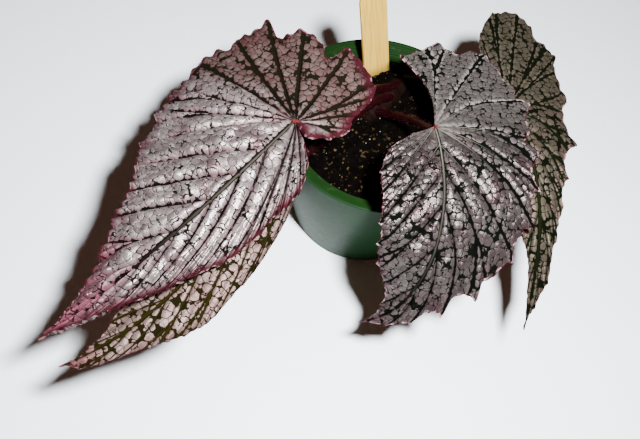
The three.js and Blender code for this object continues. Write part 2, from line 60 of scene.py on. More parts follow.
class Recipe:
    # one procedural material, with short ways to add nodes and join them
    def __init__(self, name):
        self.material = bpy.data.materials.new(name)
        self.material.use_nodes = True
        self.nodes = self.material.node_tree.nodes
        self.links = self.material.node_tree.links
        self.shader = self.nodes["Principled BSDF"]

    def feed(self, socket, value):
        if isinstance(value, bpy.types.NodeSocket):
            self.links.new(value, socket)
        else:
            socket.default_value = value

    def add(self, kind, inputs, **settings):
        node = self.nodes.new("ShaderNode" + kind)
        for name, value in settings.items():
            setattr(node, name, value)
        for name, value in inputs.items():
            self.feed(node.inputs[name], value)
        return node

    def math(self, operation, a, b=0.0):
        return self.add("Math", {0: a, 1: b}, operation=operation).outputs[0]

    def plus(self, a, b):
        return self.math("ADD", a, b)

    def minus(self, a, b):
        return self.math("SUBTRACT", a, b)

    def times(self, a, b):
        return self.math("MULTIPLY", a, b)

    def vector(self, operation, a, b=(0, 0, 0)):
        return self.add("VectorMath", {0: a, 1: b}, operation=operation).outputs[0]

    def scaled(self, a, amount):
        return self.add("VectorMath", {0: a, "Scale": amount}, operation="SCALE").outputs[0]

    def ramp(self, value, low, high, atLow=0.0, atHigh=1.0):
        ends = {"From Min": low, "From Max": high, "To Min": atLow, "To Max": atHigh}
        node = self.add("MapRange", {"Value": value, **ends}, interpolation_type="SMOOTHSTEP")
        return node.outputs[0]

    def mix(self, factor, a, b, blend="MIX"):
        node = self.add("Mix", {0: factor, 6: a, 7: b}, data_type="RGBA", blend_type=blend)
        return node.outputs[2]

    def uv(self, name):
        return self.add("UVMap", {}, uv_map=name).outputs[0]

    def split(self, vector):
        return self.add("SeparateXYZ", {0: vector}).outputs

    def objectPlace(self):
        return self.add("TexCoord", {}).outputs["Object"]

    def noise(self, vector, scale, detail=3.0, roughness=0.55):
        inputs = {"Vector": vector, "Scale": scale, "Detail": detail, "Roughness": roughness}
        return self.add("TexNoise", inputs).outputs

    def voronoi(self, vector, scale, feature="F1", randomness=1.0):
        inputs = {"Vector": vector, "Scale": scale, "Randomness": randomness}
        return self.add("TexVoronoi", inputs, feature=feature).outputs

    def bump(self, height, distance, strength=1.0):
        inputs = {"Height": height, "Distance": distance, "Strength": strength}
        return self.add("Bump", inputs).outputs[0]

    def finish(self, **sockets):
        for name, value in sockets.items():
            self.feed(self.shader.inputs[name.replace("_", " ")], value)
        return self.material


# ---------- piece kit

def newObject(name, data):
    if isinstance(data, bmesh.types.BMesh):
        bm, data = data, bpy.data.meshes.new(name)
        bm.to_mesh(data)
        bm.free()
    thing = bpy.data.objects.new(name, data)
    bpy.context.scene.collection.objects.link(thing)
    return thing


def pieceFrom(bm, name, materials, nodes=(), smooth=True):
    piece = newObject(name, bm)
    mesh = piece.data
    mesh.polygons.foreach_set("use_smooth", [smooth] * len(mesh.polygons))
    for material in materials:
        mesh.materials.append(material)
    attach(piece, "root")
    if nodes:
        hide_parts(*nodes)
    return piece


def bevelEdges(bm, edges, width, steps):
    bmesh.ops.bevel(
        bm, geom=edges, offset=width, offset_type="OFFSET", segments=steps, profile=0.5,
        affect="EDGES", material=-1,
    )


def gridMesh(grids, place):
    # Each grid is (columns, rows, mark). place takes every corner's two shares and its mark, and
    # returns its point and its uv maps. Corners that meet are welded. A mark below 0 is a mirror
    # image, and one of 2 or -2 is an underside, which takes the second material.
    bm = bmesh.new()
    for columns, rows, mark in grids:
        shift = Matrix.Translation((0.5, 0.5, mark))
        bmesh.ops.create_grid(bm, x_segments=columns, y_segments=rows, size=0.5, matrix=shift)
    for face in bm.faces:
        face.material_index = int(abs(face.verts[0].co.z) > 1.5)
    turned = [f for f in bm.faces if (f.verts[0].co.z < 0) != (f.material_index == 1)]
    bmesh.ops.reverse_faces(bm, faces=turned)
    mesh = bpy.data.meshes.new("grid")
    bm.to_mesh(mesh)
    shares = np.zeros(len(mesh.vertices) * 3)
    mesh.vertices.foreach_get("co", shares)
    shares = shares.reshape(-1, 3)
    points, uvMaps = place(shares[:, 0], shares[:, 1], shares[:, 2])
    corners = np.zeros(len(mesh.loops), int)
    mesh.loops.foreach_get("vertex_index", corners)
    for name, values in uvMaps.items():
        layer = mesh.uv_layers.new(name=name)
        layer.data.foreach_set("uv", values[corners].astype(np.float32).ravel())
    mesh.vertices.foreach_set("co", (points * mm).astype(np.float32).ravel())
    bm.clear()
    bm.from_mesh(mesh)
    bpy.data.meshes.remove(mesh)
    bmesh.ops.remove_doubles(bm, verts=bm.verts, dist=0.004 * mm)
    return bm


# ---------- leaf blades: flat outline, ribs and how each blade is bent
# A blade is drawn flat, with its stalk at (0, 0), the midrib along x and its left side at +y.
# A rib is [root on the midrib, x, y of its end on the margin]. At each station along the
# midrib the bent blade has a heading, pitch and roll, and each side falls away from the midrib
# by a fold and then curls down with distance, in degrees for each 100 mm. Its edge holds the
# lobes and notches, as (place along the ribs, how far the margin stands out there), and bow is
# how far each rib swings towards the notch halfway out.
blades = {}
blades["leaf_a"] = {
    "start": (-42, -39, 116), "length": 149, "stations": (-60, 0, 50, 100, 150),
    "heading": (-110, -110, -120, -130, -136), "pitch": (0, 16, -9, -23, -19),
    "roll": 0,
    "left": {
        "fold": (0, 0, 6, 4, 0), "curl": (12, 22, 40, 40, 30),
        "edge": (
            (0, 0), (0.4, 1.8), (0.8, 0.5), (1.3, -3.4), (1.75, -5), (2, -7), (2.3, -10),
            (2.5, -6), (3, -4.8), (3.3, -1), (4, -0.5), (10, 0),
        ),
    },
    "right": {
        "fold": (0, 6, 11, 6, 0), "curl": (20, 36, 42, 36, 30),
        "edge": (
            (0, 0), (0.4, 2.5), (0.9, 3), (1.5, 0), (1.8, -1.5), (2.1, 0), (3, 1), (3.5, 2.5),
            (3.8, 2), (4.05, 0.5), (4.2, -7), (4.4, -11.5), (4.52, -3), (4.8, 0), (5.1, 0.7),
            (5.3, -3), (5.55, -6.5), (5.82, -11), (5.95, 3), (6.3, -0.5), (7, -1.5), (7.26, -5),
            (7.45, 0.5), (8, 0.5), (9, -1.5), (10, 0), (10.35, -2), (11, 0.5), (12, -2.5),
            (12.6, -2.3), (13.2, -1), (14, 0.5), (17, -0.5), (18, 0),
        ),
    },
    "pillow": 4.4, "crease": 1.9, "flatBehind": 0.22, "pucker": 0.5, "forkFrom": (0.3, 0.55),
    "forkTo": (0.22, 0.3), "forked": (0.15, 0.6), "tooth": 0.6, "ruffle": (2.6, 0.9),
    "leftRibs": (
        (0, 13, 15), (0, 31, 25), (0, 50, 28), (0, 67, 26), (24, 84, 20), (41, 98, 16),
        (58, 109, 12), (78, 121, 8), (98, 133, 5), (118, 142, 2.5),
    ),
    "rightRibs": (
        (0, 6, 10), (0, -11, 20), (0, -28, 20), (0, -46, 18), (0, -60, -5), (0, -59, -31),
        (0, -55, -50), (0, -40, -61), (0, -20, -69), (0, 6, -70), (0, 31, -67), (0, 56, -60),
        (24, 72, -48), (41, 84, -36), (58, 96, -28), (78, 110, -17), (98, 125, -8), (118, 139, -3),
    ),
}
blades["leaf_b"] = {
    "start": (-36, -42, 98), "length": 148, "stations": (-60, 0, 50, 100, 150),
    "heading": (-103, -103, -117, -123, -145), "pitch": (0, 14, -6, -14, -7),
    "roll": 0,
    "left": {
        "fold": (0, 0, 4, 4, 0), "curl": (12, 25, 30, 30, 20),
        "edge": (
            (0, 0), (1.2, 0), (1.8, 1.8), (3, 1.8), (3.8, -1.5), (4.4, -3.4), (4.7, -1.6),
            (5.3, 2), (5.9, 0.9), (7.5, -1.4), (8.2, 0.3), (9.1, 3), (10, 0),
        ),
    },
    "right": {
        "fold": (0, 0, 4, 4, 0), "curl": (15, 25, 30, 30, 20),
        "edge": ((0, 0), (9.5, 0), (11, -3), (12, 0)),
    },
    "pillow": 1.0, "crease": 1.6, "flatBehind": 1.0, "pucker": 0.35, "forkFrom": (0.35, 0.6),
    "forkTo": (0.2, 0.28), "forked": (0.8, 0.8), "tooth": 0.8, "ruffle": (0.4, 0.4),
    "leftRibs": (
        (0, 8, 6), (0, 20, 8), (0, 36, 13), (0, 55, 17), (24, 73, 20), (41, 88, 20), (58, 102, 17),
        (78, 116, 12), (98, 129, 8), (118, 140, 4),
    ),
    "rightRibs": (
        (0, -33, -4), (0, -37, -20), (0, -28, -38), (0, -10, -48), (0, 14, -53), (0, 40, -50),
        (24, 62, -43), (41, 78, -34), (58, 93, -26), (78, 108, -16), (98, 124, -8), (118, 138, -3),
    ),
}
blades["leaf_c"] = {
    "start": (23, -19.5, 112), "length": 122, "stations": (-60, 0, 30, 60, 90, 120),
    "heading": (-73, -73, -76, -88, -125, -175), "pitch": (2, 15, -13, -46, -59, -43),
    "roll": (0, 0, 0, -10, -22, -15),
    "left": {
        "fold": 0, "curl": (10, 13, 28, 30, 30, 20),
        "bow": (-7, 0, 1, 7, 5, 2, 1, -2, 0),
        "edge": (
            (0, 0), (0.6, -0.5), (1.1, 1), (1.3, -2), (1.47, -5.5), (1.75, -0.6), (2, 0.6),
            (2.3, 0), (2.5, -2.8), (2.67, -1.5), (2.9, -6), (3.1, 0), (3.32, -5.4), (3.58, -3.5),
            (3.84, -7), (4.1, -0.5), (4.5, -5.5), (4.85, -5), (5, -1.5), (5.25, -5.5), (5.5, -5.7),
            (5.9, -2), (5.97, 1.5), (6.3, -3.5), (6.87, -3.5), (7.05, 0.8), (7.3, -1.8),
            (7.5, -0.8), (7.9, -3.2), (8.05, 1.8), (8.35, -3.2), (8.76, -6), (9, 0.5), (9.4, -3),
            (9.73, -4), (10, -0.5), (11, -1), (12, 0),
        ),
    },
    "right": {
        "fold": 0, "curl": (12, 25, 30, 30, 30, 20),
        "edge": (
            (0, 0), (1.4, 0), (2.1, -1.5), (2.5, -2), (3.1, -4.3), (4, -1.5), (4.6, -2),
            (5.4, 2.2), (6.4, 3.5), (7.6, 1.8), (9, 0),
        ),
    },
    "pillow": 2.3, "crease": 2.4, "flatBehind": 1.0, "pucker": 0.5, "forkFrom": (0.4, 0.65),
    "forkTo": (0.2, 0.28), "forked": (0.45, 0.45), "tooth": 1.1, "ruffle": (0.5, 0.4),
    "leftRibs": (
        (0, -52, -8), (0, -60, 13), (0, -54, 38), (0, -22, 55), (0, 14, 51), (0, 33, 50),
        (0, 47, 47), (12, 62, 40), (26, 77, 28), (42, 90, 18), (62, 101, 10), (84, 111, 5),
    ),
    "rightRibs": (
        (0, 5, -12), (0, 14, -24), (0, 27, -30), (0, 42, -31), (12, 56, -29), (26, 69, -26),
        (42, 81, -20), (62, 93, -12), (84, 106, -5),
    ),
}
blades["leaf_d"] = {
    "start": (61, 15.5, 99), "length": 118, "stations": (-60, 0, 40, 80, 120),
    "heading": (-59, -59, -70, -81, -84), "pitch": (0, 8, -13, -32, -47),
    "roll": 0,
    "left": {
        "fold": (0, 0, 5, 5, 0), "curl": (12, 25, 35, 35, 20),
        "edge": (
            (0, 0), (1.2, -0.5), (2.3, 1), (2.6, 2.5), (3.1, 2), (3.5, 5), (3.62, 0.5),
            (3.9, -0.3), (4.2, 2.7), (4.85, 4), (5, -3), (5.3, -1), (5.9, 1.8), (6.1, -1.8),
            (6.5, -2.2), (6.85, -0.5), (6.95, 2.4), (7.3, -2), (7.7, -3.4), (8, -0.5), (8.6, -2.4),
            (9.2, -0.4), (10.2, -0.4), (10.6, 3.5), (11.2, 5), (12, 2), (13, 0),
        ),
    },
    "right": {
        "fold": (0, 0, 5, 5, 0), "curl": (12, 30, 35, 35, 20),
        "edge": (
            (0, 0), (4.8, -2), (5.4, -3.1), (6.5, -5.7), (6.9, -4.7), (7.5, -2.7), (8, 0),
        ),
    },
    "pillow": 1.2, "crease": 1.8, "flatBehind": 1.0, "pucker": 0.4, "forkFrom": (0.35, 0.6),
    "forkTo": (0.2, 0.28), "forked": (0.8, 0.8), "tooth": 0.8, "ruffle": (0.4, 0.4),
    "leftRibs": (
        (0, -40, 4), (0, -53, 10), (0, -65, 24), (0, -60, 38), (0, -38, 43), (0, -24, 44),
        (0, 4, 33), (0, 26, 26), (10, 44, 18), (24, 59, 13), (40, 74, 9), (60, 90, 6),
        (84, 106, 2.5),
    ),
    "rightRibs": (
        (0, 3, -9), (0, 12, -23), (0, 26, -30), (10, 42, -28), (24, 57, -20), (40, 71, -12),
        (60, 87, -6), (84, 105, -3),
    ),
}

bladeMesh = {
    "columnsPerRib": 24, "rows": 68, "thickness": 0.7, "edgeTaper": 0.9, "seed": 4,
    "midribDepth": 1.3, "midribWidth": 1.6, "ribDepth": 0.7, "ribWidth": 1.1, "veinBow": 0.035,
    "bowFrom": 20, "marginWave": 0.7, "marginFlat": 0.6, "ruffles": 3, "tipPoint": 3,
    "tipShare": 0.3, "toothFade": 14, "toothSizes": (0.75, 1.25), "flatFrom": (-25, 5),
    "midribRise": 0.8, "room": 2.5, "low": 0.35, "lowLength": 4, "lumpLength": 8, "lump": 0.45,
    "puckerLength": 3.6,
}
# a tooth is (height, place between two ribs, half width)
toothPattern = {
    "atRib": (1.7, 0.15), "between": ((0.45, 0.28, 0.09), (0.75, 0.52, 0.1), (0.4, 0.75, 0.08)),
    "inset": 0.5,
}


def bend(blade, x, y, height):
    # takes points of the flat blade to their place in the bent one
    stations = blade["stations"]

    def angle(values, at):
        return np.radians(np.interp(at, stations, np.broadcast_to(values, len(stations))))

    def forward(at):
        heading, pitch = angle(blade["heading"], at), angle(blade["pitch"], at)
        along = [np.cos(pitch) * np.cos(heading), np.cos(pitch) * np.sin(heading), np.sin(pitch)]
        return np.stack(along, -1)

    back, ahead = 90, blade["length"] + 10
    marks = np.arange(-back, ahead + 1)
    spine = np.cumsum(np.vstack([np.zeros(3), forward(marks[:-1] + 0.5)]), 0)
    spine += np.array(blade["start"]) - spine[back]
    centre = np.stack([np.interp(x, marks, spine[:, axis]) for axis in range(3)], -1)
    heading, roll = angle(blade["heading"], x), angle(blade["roll"], x)
    ahead = forward(x)
    level = np.stack([-np.sin(heading), np.cos(heading), 0 * heading], -1)
    upright = np.cross(ahead, level)
    across = level * np.cos(roll)[:, None] + upright * np.sin(roll)[:, None]
    facing = np.cross(ahead, across)
    left, right = blade["left"], blade["right"]
    fold = np.where(y >= 0, angle(left["fold"], x), angle(right["fold"], x))
    curl = np.where(y >= 0, angle(left["curl"], x), angle(right["curl"], x)) / 100
    slope = fold + curl * np.abs(y)
    out = np.sign(y) * (np.sin(slope) - np.sin(fold)) / curl
    drop = (np.cos(fold) - np.cos(slope)) / curl
    lifted = facing * np.cos(slope)[:, None] + across * (np.sign(y) * np.sin(slope))[:, None]
    return centre + across * out[:, None] - facing * drop[:, None] + lifted * height[:, None]


def smoothThrough(ends, place):
    # a smooth outline through the rib ends, where place counts along them
    first = np.clip(np.floor(place).astype(int), 0, len(ends) - 2)
    share = (place - first)[:, None]
    before, a = ends[np.maximum(first - 1, 0)], ends[first]
    b, after = ends[first + 1], ends[np.minimum(first + 2, len(ends) - 1)]
    leave, arrive = (b - before) / 2, (after - a) / 2
    cubic = (2 * a - 2 * b + leave + arrive) * share ** 3
    return cubic + (3 * b - 3 * a - 2 * leave - arrive) * share ** 2 + leave * share + a


def peak(share, at, width):
    return np.maximum(0, 1 - np.abs(share - at) / width)


def teeth(share):
    # a sharp tooth at each rib and smaller ones between
    high, wide = toothPattern["atRib"]
    atRib = high * np.maximum(peak(share, 0, wide), peak(share, 1, wide))
    between = [size * peak(share, at, width) for size, at, width in toothPattern["between"]]
    return atRib + sum(between) - toothPattern["inset"]


def eased(value, low, high, atLow, atHigh):
    share = np.clip((value - low) / (high - low), 0, 1)
    return atLow + (atHigh - atLow) * share ** 2 * (3 - 2 * share)


def bladeFields(blade, ribs, wing, count, reach, side):
    # count runs over the ribs of one side, and reach from 0 at the midrib to 1 at the margin
    made, length, last = bladeMesh, blade["length"], len(ribs)
    ends = np.array([(x, y) for root, x, y in ribs] + [(length, 0)], float)
    rootAt = np.array([rib[0] for rib in ribs] + [length], float)
    roots = np.interp(count, range(last + 1), rootAt)
    root = np.stack([roots, 0 * roots], -1)
    arm = smoothThrough(ends, count) - root
    armLength = np.hypot(*arm.T)
    way = np.where(armLength[:, None] > 0.01, arm / np.maximum(armLength, 0.01)[:, None], (1, 0))
    whole = np.minimum(np.floor(count), last - 1).astype(int)
    share = count - whole
    draw = np.random.default_rng(made["seed"] + last)
    toothSize = np.interp(count, range(last + 1), draw.uniform(*made["toothSizes"], last + 1))
    fade = np.minimum(1, armLength / made["toothFade"])
    tooth = blade["tooth"] * teeth(share) * toothSize * fade * np.clip((last - count) * 3, 0, 1)
    tooth = np.where(count < 0.01, 0, tooth)
    tooth += made["tipPoint"] * peak(count, last, made["tipShare"]) ** 2
    armLength = np.maximum(armLength + tooth + np.interp(count, *zip(*wing["edge"])), 0)
    sidestep = np.stack([-way[:, 1], way[:, 0]], -1) * side
    swings = wing.get("bow", (0, 0))
    swing = np.interp(count, range(len(swings)), swings)
    bow = made["veinBow"] * armLength * np.minimum(1, roots / made["bowFrom"]) + swing
    aside = sidestep * (bow * np.sin(np.pi * reach))[:, None]
    flat = root + way * (armLength * reach)[:, None] + aside
    spread = np.hypot(*(ends[whole + 1] - ends[whole]).T)
    gap = (rootAt[whole + 1] - rootAt[whole]) * (1 - reach) + spread * reach
    toMargin = armLength * (1 - reach)
    toNotch = np.where(whole == 0, share * gap, 99)
    # each rib forks on its way out, and the blade swells up between the veins
    nearest = np.rint(count).astype(int)
    wingIndex = 0 if side == 1 else 1
    forkFrom = draw.uniform(*blade["forkFrom"], last + 1)[nearest]
    forks = draw.random(last + 1)[nearest] < blade["forked"][wingIndex]
    forks &= (nearest > 0) & (nearest < last)
    forkTo = draw.uniform(*blade["forkTo"], last + 1)[nearest] * forks
    fork = forkTo * np.clip((reach - forkFrom) / (1 - forkFrom), 0, 1)
    nearer = np.minimum(share, 1 - share)
    toVein = np.abs(nearer - fork) * gap
    room = np.where(nearer < fork, fork, 0.5 - fork) * gap
    toMidrib = made["midribRise"] * reach * armLength
    rise = 1 - np.exp(-np.minimum(toVein, toMidrib) / blade["crease"])

    def bumps(size):
        return np.array([noise.noise(Vector((x / size, y / size, last))) for x, y in flat])

    lump = 1 + made["lump"] * bumps(made["lumpLength"])
    low = made["low"] * (1 - np.exp(-toMidrib / made["lowLength"]))
    tall = blade["pillow"] * eased(flat[:, 0], *made["flatFrom"], blade["flatBehind"], 1)
    swell = tall * (1 - np.exp(-room / made["room"])) * (rise * lump - low)
    swell += blade["pucker"] * bumps(made["puckerLength"]) * rise
    phase = draw.uniform(0, 2 * np.pi, last + 1)[whole]
    wave = made["marginWave"] * reach ** 3 * np.cos(2 * np.pi * share)
    ruffle = np.sin(2 * np.pi * (made["ruffles"] * share + phase)) * fade
    wave += blade["ruffle"][wingIndex] * reach ** 5 * ruffle
    fields = {
        "flat": flat, "vein": np.stack([count, reach], -1), "fork": np.stack([fork, rise], -1),
        "span": np.stack([gap, np.minimum(toMargin, toNotch)], -1),
    }
    return fields, swell * (1 - made["marginFlat"] * reach ** 5) + wave


def bladeThickness(blade, fields):
    # the underside has a ridge below each rib, and meets the upper side at the margin
    flat, (count, reach), (gap, toEdge) = fields["flat"], fields["vein"].T, fields["span"].T
    toRib = np.abs(count - np.rint(count)) * gap
    ridge = np.maximum(0, 1 - toRib / bladeMesh["ribWidth"])
    ridge = bladeMesh["ribDepth"] * (1 - reach ** 2) * ridge
    midrib = bladeMesh["midribDepth"] * np.maximum(0, 1 - flat[:, 0] / blade["length"])
    midrib = midrib * np.maximum(0, 1 - np.abs(flat[:, 1]) / bladeMesh["midribWidth"])
    midrib = np.where(flat[:, 0] > -1, midrib, 0)
    thick = bladeMesh["thickness"] + np.maximum(ridge, midrib)
    return thick * np.sqrt(np.clip(toEdge / bladeMesh["edgeTaper"], 0, 1))


def bladePiece(name, materials):
    blade = blades[name]
    wings = {1: blade["left"], -1: blade["right"]}
    ribs = {1: blade["leftRibs"], -1: blade["rightRibs"]}

    def place(u, v, mark):
        points = np.zeros((len(u), 3))
        maps = {key: np.zeros((len(u), 2)) for key in ("flat", "vein", "fork", "span")}
        for side, wing in wings.items():
            here = np.sign(mark) == side
            count = u[here] * len(ribs[side])
            fields, height = bladeFields(blade, ribs[side], wing, count, v[here], side)
            below = np.where(np.abs(mark[here]) > 1.5, bladeThickness(blade, fields), 0)
            height = height + bladeMesh["thickness"] / 2 - below
            points[here] = bend(blade, *fields["flat"].T, height)
            for key in maps:
                maps[key][here] = fields[key]
        return points, maps

    columns, rows = bladeMesh["columnsPerRib"], bladeMesh["rows"]
    grids = [(len(ribs[side]) * columns, rows, side * layer) for side in wings for layer in (1, 2)]
    bm = gridMesh(grids, place)
    for edge in bm.edges:
        edge.smooth = len({face.material_index for face in edge.link_faces}) < 2
    pieceFrom(bm, name + "_blade", materials, [name])


# A look's blister is the spots' spacing, disc their size and net the lines between them. band is
# the bare width beside a vein, near the midrib and at the margin. Words with lobe are for the
# part behind the stalk, and pairs are where a change begins and ends, in mm.
leafLooks = {}
leafLooks["leaf_a"] = {
    "silver": (162, 150, 148), "pink": (98, 62, 68), "shade": (74, 52, 55), "flank": (64, 38, 42),
    "lobe": (52, 32, 29), "ground": (6, 5, 3), "vein": (5, 4, 3), "lobeGround": (13, 11, 5),
    "pale": (56, 53, 45), "star": (84, 24, 28), "tip": (94, 46, 58), "midline": 0.65,
    "blister": 3.7, "disc": 0.84, "lobeDisc": 0.68, "net": 0.035, "band": (0.3, 0.45),
    "lobeBand": 0.4, "merge": (8, 30), "paleReach": (12, 55), "paleBehind": 0.0, "rim": (0.9, 2.8),
    "leftRim": 0.35, "tipPink": (92, 132), "edgePink": 0.5, "paleTeeth": 0.45, "relief": 0.8,
    "gloss": 0.84, "lobeGloss": 0.2, "rough": 0.37,
}
leafLooks["leaf_b"] = {
    "silver": (96, 80, 76), "pink": (82, 54, 54), "shade": (62, 47, 43), "flank": (70, 54, 50),
    "lobe": (60, 44, 42), "ground": (13, 10, 2), "vein": (19, 16, 2), "lobeGround": (16, 13, 2),
    "pale": (34, 30, 10), "star": (84, 24, 28), "tip": (82, 44, 48), "midline": 0.4,
    "blister": 3.4, "disc": 0.66, "lobeDisc": 0.66, "net": 0.04, "band": (0.25, 0.75),
    "lobeBand": 0.2, "merge": (5, 25), "paleReach": (6, 20), "paleBehind": 0.0, "rim": (0.4, 1.1),
    "tipPink": (128, 150), "edgePink": 0.25, "paleTeeth": 0.2, "relief": 0.5, "gloss": 0.5,
    "rough": 0.45,
}
leafLooks["leaf_c"] = {
    "silver": (80, 74, 72), "pink": (68, 44, 48), "shade": (47, 39, 39), "flank": (46, 37, 37),
    "lobe": (104, 96, 93), "ground": (3, 4, 2), "vein": (2, 3, 2), "lobeGround": (3, 4, 2),
    "pale": (92, 90, 80), "star": (66, 14, 20), "tip": (66, 44, 47), "midline": 0.25,
    "blister": 3.3, "disc": 0.7, "lobeDisc": 0.7, "net": 0.04, "band": (0.08, 0.45),
    "lobeBand": 0.0, "merge": (12, 34), "paleReach": (8, 34), "paleBehind": 0.8, "rim": (0.4, 1.2),
    "tipPink": (100, 125), "edgePink": 0.3, "paleTeeth": 0.9, "relief": 0.6, "gloss": 0.8,
    "rough": 0.3,
}
leafLooks["leaf_d"] = {
    "silver": (62, 57, 48), "pink": (58, 38, 35), "shade": (40, 35, 27), "flank": (42, 37, 29),
    "lobe": (58, 52, 43), "ground": (3, 4, 1), "vein": (5, 7, 2), "lobeGround": (5, 6, 2),
    "pale": (28, 30, 13), "star": (66, 14, 20), "tip": (50, 37, 34), "midline": 0.35,
    "blister": 3.4, "disc": 0.69, "lobeDisc": 0.69, "net": 0.045, "band": (0.12, 0.55),
    "lobeBand": 0.1, "merge": (5, 20), "paleReach": (5, 15), "paleBehind": 0.3, "rim": (0.4, 1.2),
    "tipPink": (100, 120), "edgePink": 0.3, "paleTeeth": 0.3, "relief": 0.45, "gloss": 0.5,
    "rough": 0.42,
}


blisters = {
    "randomness": 0.72, "wobble": 2.0, "wobbleScale": 0.42, "sparkleScale": 2.4, "sparkle": 2.2,
    "lobes": (-22, 16), "rim": colour(42, 11, 17), "paleTooth": colour(140, 112, 116),
}


def leafMaterial(name, look):
    r = Recipe(name)
    look = {"leftRim": 1.0, "lobeGloss": 1.0, **look}
    look.update({key: colour(*value) for key, value in look.items() if np.size(value) == 3})
    flat, vein, span = r.uv("flat"), r.split(r.uv("vein")), r.split(r.uv("span"))
    along, off = r.split(flat)[0], r.split(flat)[1]
    count, reach, gap, toEdge = vein[0], vein[1], span[0], span[1]
    fromStalk = r.add("VectorMath", {0: flat}, operation="LENGTH").outputs["Value"]
    # how far the nearest vein is: a rib, its fork near the margin, or the midrib
    nearer = r.math("PINGPONG", count, 0.5)
    fork = r.split(r.uv("fork"))[0]
    toVein = r.times(r.math("ABSOLUTE", r.minus(nearer, fork)), gap)
    toMidrib = r.plus(r.math("ABSOLUTE", off), r.ramp(along, -1, 1, 50, 0))
    toVein = r.math("MINIMUM", toVein, toMidrib)
    uneven = r.noise(flat, 0.5, 3)["Fac"]
    bandWidth = r.ramp(reach, 0.05, 0.95, *look["band"])
    bandWidth = r.times(bandWidth, r.ramp(uneven, 0.3, 0.7, 0.2, 1.8))
    besideMidrib = r.times(r.ramp(toMidrib, 0.4, 1.5, 0.55, 0), r.ramp(along, 60, 120, 1, 0))
    bandWidth = r.plus(bandWidth, besideMidrib)
    bandWidth = r.plus(bandWidth, r.ramp(along, -22, 8, look["lobeBand"], 0))
    outside = r.minus(toVein, bandWidth)
    outside = r.plus(outside, r.ramp(along, *look["tipPink"], 0, 0.9))
    # silver blisters: round spots that shrink towards the veins and merge near the stalk
    wobble = r.noise(flat, blisters["wobbleScale"], 3)["Color"]
    wobble = r.scaled(r.vector("SUBTRACT", wobble, (0.5, 0.5, 0.5)), blisters["wobble"])
    warped = r.vector("ADD", flat, wobble)
    cells = 1 / look["blister"]
    blister = r.voronoi(warped, cells, "F1", blisters["randomness"])
    border = r.voronoi(warped, cells, "DISTANCE_TO_EDGE", blisters["randomness"])["Distance"]
    apart = r.plus(fromStalk, r.times(r.noise(flat, 0.08, 2)["Fac"], 24))
    apart = r.ramp(apart, *look["merge"])
    broken = r.ramp(r.noise(flat, 0.45, 2)["Fac"], 0.3, 0.62, -0.3, 1.35)
    lined = r.minus(r.times(apart, broken), r.times(r.minus(1.0, apart), 0.4))
    netWidth = r.times(lined, look["net"])
    inCell = r.ramp(r.minus(border, netWidth), -0.02, 0.03)
    smaller = r.ramp(along, -20, 15, 1.0 - look["lobeDisc"], 1.0 - look["disc"])
    disc = r.minus(1.0, r.times(apart, smaller))
    radius = r.times(r.ramp(outside, -0.6, 0.9), disc)
    inDisc = r.ramp(r.minus(radius, blister["Distance"]), -0.02, 0.05)
    silver = r.times(inCell, inDisc)
    # silver turns pink in patches, towards the margin and at the tip
    inLobes = r.ramp(along, *blisters["lobes"], 0.9, 0)
    patches = r.ramp(r.noise(flat, 0.06, 3)["Fac"], 0.4, 0.7, 0, 0.6)
    nearEdge = r.ramp(toEdge, 0, 13, look["edgePink"], 0)
    pinkness = r.math("MINIMUM", r.plus(patches, nearEdge), 0.95)
    skin = r.mix(pinkness, look["silver"], look["pink"])
    tone = r.split(blister["Color"])[0]
    skin = r.mix(r.ramp(tone, 0.2, 1, 0, 0.55), skin, look["shade"])
    # painted shade: the skin darkens and turns mauve towards each vein, standing in for the shade
    # in the creases between the swellings
    skin = r.mix(r.ramp(toVein, 0.3, 3.2, 0.85, 0), skin, look["flank"])
    skin = r.mix(inLobes, skin, look["lobe"])
    skin = r.mix(r.ramp(along, *look["tipPink"], 0, 0.85), skin, look["tip"])
    # painted highlights: scattered tiny cells of the skin are lightened, as glints off the silver
    sparkle = r.voronoi(flat, blisters["sparkleScale"])
    paintedGlint = r.ramp(r.split(sparkle["Color"])[0], 0.6, 1, 0, 0.3)
    skin = r.mix(paintedGlint, skin, r.scaled(skin, blisters["sparkle"]))
    ground = r.mix(r.ramp(outside, 0.2, 1.2), look["vein"], look["ground"])
    ground = r.mix(inLobes, ground, look["lobeGround"])
    body = r.mix(silver, ground, skin)
    # the ribs are pale lines near the stalk
    pale = r.ramp(fromStalk, *look["paleReach"], 0.8, 0.0)
    pale = r.times(pale, r.ramp(toVein, 0.08, 0.26, 1, 0))
    pale = r.times(pale, r.ramp(along, -7, 1, look["paleBehind"], 1))
    body = r.mix(pale, body, look["pale"])
    midline = r.ramp(along, 25, 110, look["midline"], 0)
    midline = r.times(r.ramp(toMidrib, 0.25, 0.65, 1, 0), midline)
    body = r.mix(midline, body, look["pale"])
    body = r.mix(r.ramp(fromStalk, 0.4, 2.9, 1, 0), body, look["star"])
    narrow, wide = look["rim"]
    rimEdge = r.times(toEdge, r.ramp(off, -2, 2, 1, look["leftRim"]))
    rim = r.ramp(r.plus(rimEdge, uneven), narrow, wide + 0.6, 1, 0)
    body = r.mix(rim, body, blisters["rim"])
    teethTips = r.ramp(r.noise(flat, 0.28, 2)["Fac"], 0.52, 0.6)
    teethTips = r.times(teethTips, r.ramp(toEdge, 0.5, 1.4, 1, 0))
    body = r.mix(r.times(teethTips, look["paleTeeth"]), body, blisters["paleTooth"])
